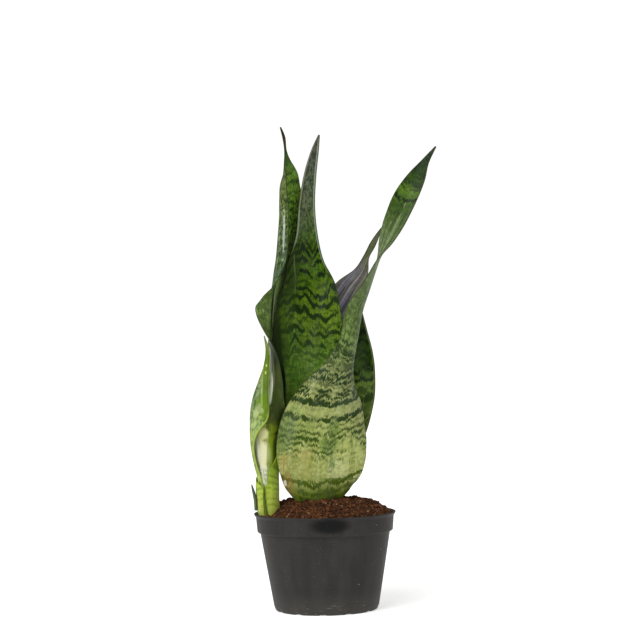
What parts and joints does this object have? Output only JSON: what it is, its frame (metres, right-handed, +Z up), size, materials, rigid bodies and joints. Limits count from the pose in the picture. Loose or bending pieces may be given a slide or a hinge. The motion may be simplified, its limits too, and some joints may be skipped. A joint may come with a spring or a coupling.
{
  "type": "potted snake plant",
  "caption": "Young snake plant with stiff, upright, twisting leaves with dark cross bands, rooted in dark potting soil in a plain round black nursery pot with a rolled rim band",
  "frame": {"origin": "middle of the pot's underside, on the flat pad that lies on the surface the pot stands on", "axes": "+Z up along the pot's axis, -Y towards the viewer of the picture, +X to the viewer's right"},
  "size_m": [0.1624, 0.12, 0.4092],
  "materials": {
    "pot": "moulded satin, faintly scuffed and dusty",
    "soil": "rough granular potting mix",
    "rhizome": "matt fibrous skin",
    "leaf_pale": "waxy satin, pale yellow green with jagged dark bands",
    "leaf_dark": "waxy satin, deep green with dark zigzag bands",
    "leaf_grey": "waxy satin, grey green with fine stripes along it",
    "leaf_mid": "waxy satin, mid green with dark bands and pale sheen",
    "leaf_yellow": "waxy satin, bright yellow green with faint bands"
  },
  "bodies": {
    "root": {"pot": "pot", "soil": "soil", "rhizome": "rhizome", "leaf_front": "leaf_pale", "leaf_centre": "leaf_dark", "leaf_leaning": "leaf_grey", "leaf_right": "leaf_dark", "leaf_left": "leaf_mid", "leaf_outer": "leaf_yellow", "leaf_sheath": "leaf_yellow", "leaf_scale": "leaf_dark"}
  },
  "joints": []
}
